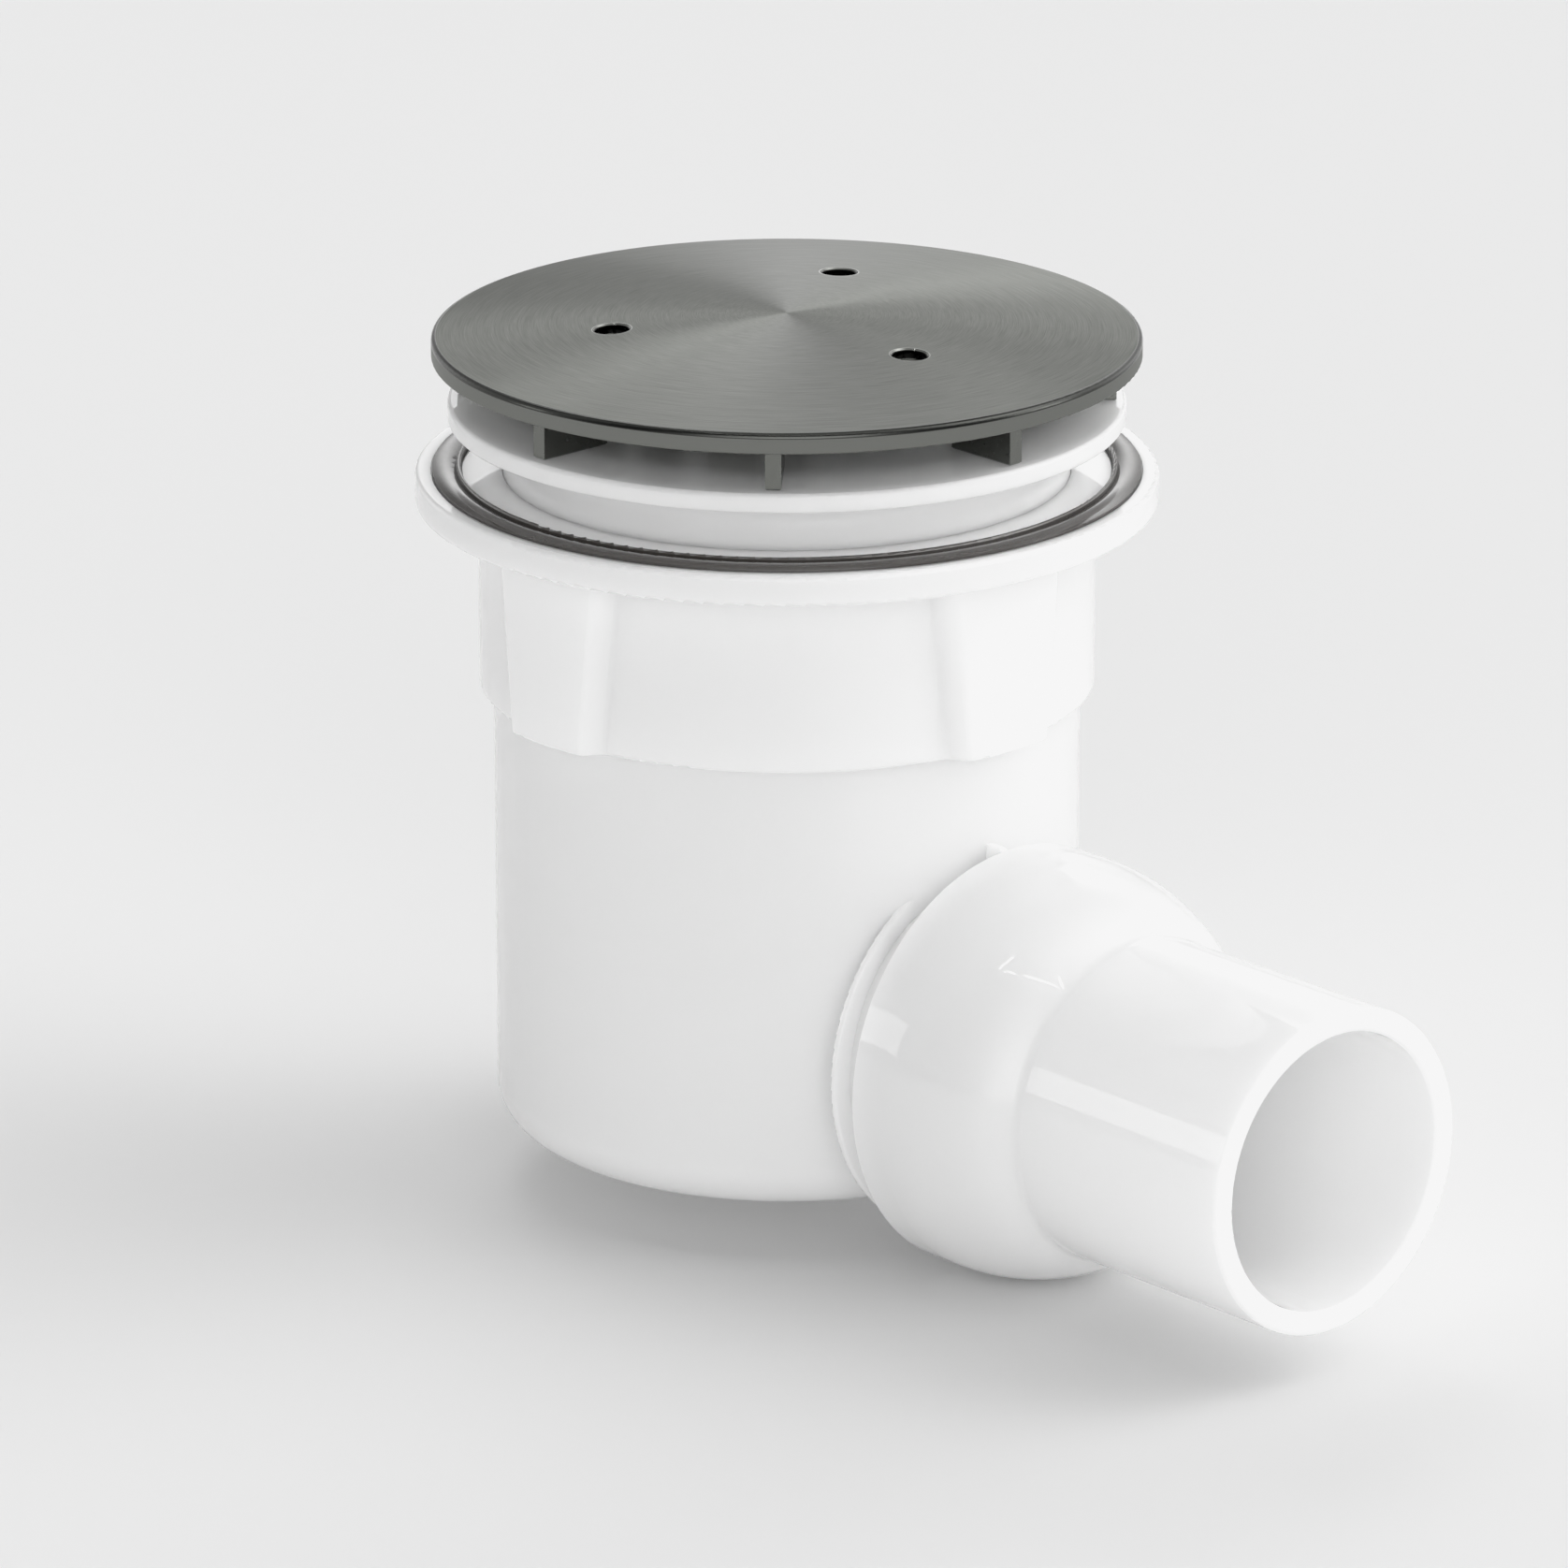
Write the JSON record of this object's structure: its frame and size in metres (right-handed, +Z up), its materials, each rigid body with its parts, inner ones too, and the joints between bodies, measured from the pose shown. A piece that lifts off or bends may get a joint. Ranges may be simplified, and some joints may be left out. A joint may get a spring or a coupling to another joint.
{
  "type": "shower trap",
  "caption": "Shower trap with a domed metal cover on legs, clamp flange, sealed collar, lift-out water seal and a swivelling ball-joint outlet.",
  "frame": {"origin": "on the body's upright axis, in the plane of the tray's top surface (the clamp flange's underside)", "axes": "+Z up out of the tray, +X along the outlet, +Y to the left seen from the outlet's mouth"},
  "size_m": [0.1754, 0.1134, 0.1387],
  "materials": {
    "cover_metal": "grey metal, brushed in circles round the centre",
    "carrier_metal": "grey metallic, satin",
    "white_plastic": "white moulding, glossy",
    "seal_rubber": "dark grey-brown rubber with a soft shine",
    "insert_plastic": "pale grey moulding, satin"
  },
  "bodies": {
    "trap": {"cover_plate": "cover_metal", "cover_carrier": "carrier_metal", "clamp_flange": "white_plastic", "tray_seal": "seal_rubber", "trap_body": "white_plastic", "ball_seal": "seal_rubber", "dip_tube": "insert_plastic", "insert_seal": "seal_rubber", "trap_cup": "insert_plastic", "hair_strainer": "insert_plastic"},
    "outlet": {"outlet_pipe": "white_plastic"}
  },
  "joints": [
    {"name": "outlet_swing", "type": "hinge", "parent": "trap", "child": "outlet", "pos_m": [0.0559, 0, -0.09], "axis": [0, 0, 1], "range_deg": [-12, 12]}
  ]
}
